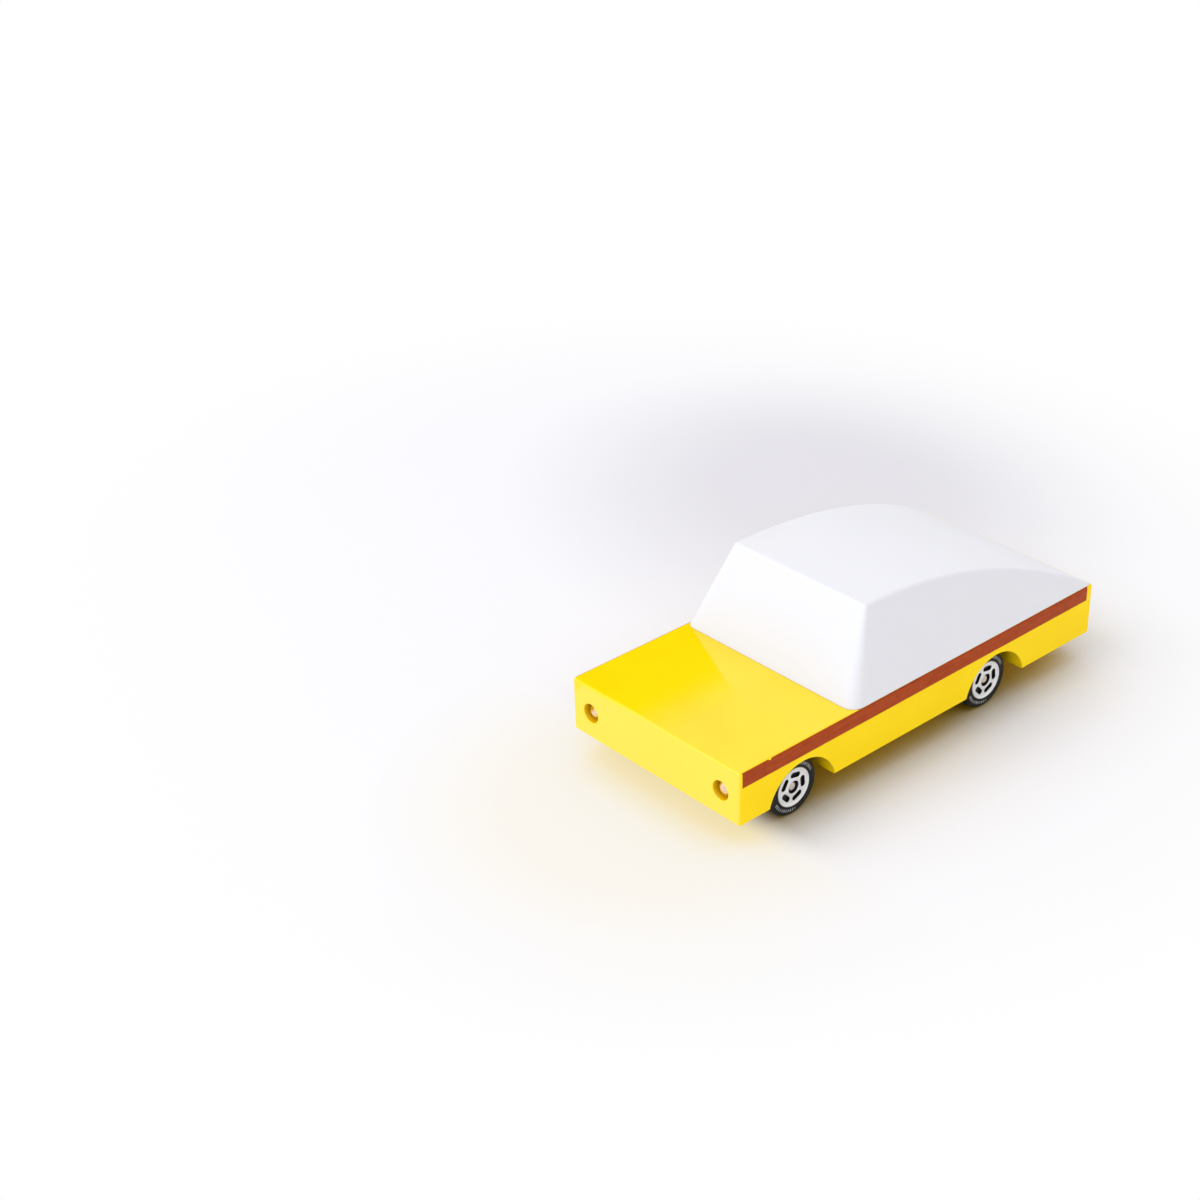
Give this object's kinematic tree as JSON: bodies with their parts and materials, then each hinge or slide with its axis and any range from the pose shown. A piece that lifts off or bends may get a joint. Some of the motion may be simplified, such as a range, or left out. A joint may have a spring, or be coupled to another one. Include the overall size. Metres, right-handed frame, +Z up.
{
  "type": "wooden toy car",
  "caption": "Small wooden push-along toy car with a yellow block body, white fastback cabin, red-brown side stripes and wheelsets that spin freely on steel axles.",
  "frame": {"origin": "on the ground under the middle of the car's length and width", "axes": "+X forward, +Y to the car's left, +Z up"},
  "size_m": [0.09, 0.041, 0.0312],
  "materials": {
    "yellow_lacquer": "gloss yellow lacquer on beech",
    "white_lacquer": "satin white lacquer on beech",
    "bare_wood": "bare beech",
    "stripe_film": "satin red-brown film",
    "stud_brass": "polished, slightly tarnished",
    "carrier_nylon": "moulded black nylon",
    "screw_steel": "zinc plated",
    "axle_steel": "drawn steel rod",
    "tyre_rubber": "moulded black rubber",
    "hub_plastic": "moulded black plastic",
    "hubcap_silver": "silver coated plastic"
  },
  "bodies": {
    "chassis": {"body_block": "yellow_lacquer", "cabin_block": "white_lacquer", "cabin_dowels": "bare_wood", "left_stripe": "stripe_film", "right_stripe": "stripe_film", "left_headlight": "stud_brass", "right_headlight": "stud_brass", "front_axle_carrier": "carrier_nylon", "rear_axle_carrier": "carrier_nylon", "carrier_screws": "screw_steel"},
    "front_wheelset": {"front_axle": "axle_steel", "front_left_tyre": "tyre_rubber", "front_right_tyre": "tyre_rubber", "front_left_hub": "hub_plastic", "front_right_hub": "hub_plastic", "front_left_hubcap": "hubcap_silver", "front_right_hubcap": "hubcap_silver"},
    "rear_wheelset": {"rear_axle": "axle_steel", "rear_left_tyre": "tyre_rubber", "rear_right_tyre": "tyre_rubber", "rear_left_hub": "hub_plastic", "rear_right_hub": "hub_plastic", "rear_left_hubcap": "hubcap_silver", "rear_right_hubcap": "hubcap_silver"}
  },
  "joints": [
    {"name": "front_axle_spin", "type": "hinge", "parent": "chassis", "child": "front_wheelset", "pos_m": [0.0306, 0, 0.00545], "axis": [0, 1, 0], "continuous": true},
    {"name": "rear_axle_spin", "type": "hinge", "parent": "chassis", "child": "rear_wheelset", "pos_m": [-0.0182, 0, 0.00545], "axis": [0, 1, 0], "continuous": true}
  ]
}
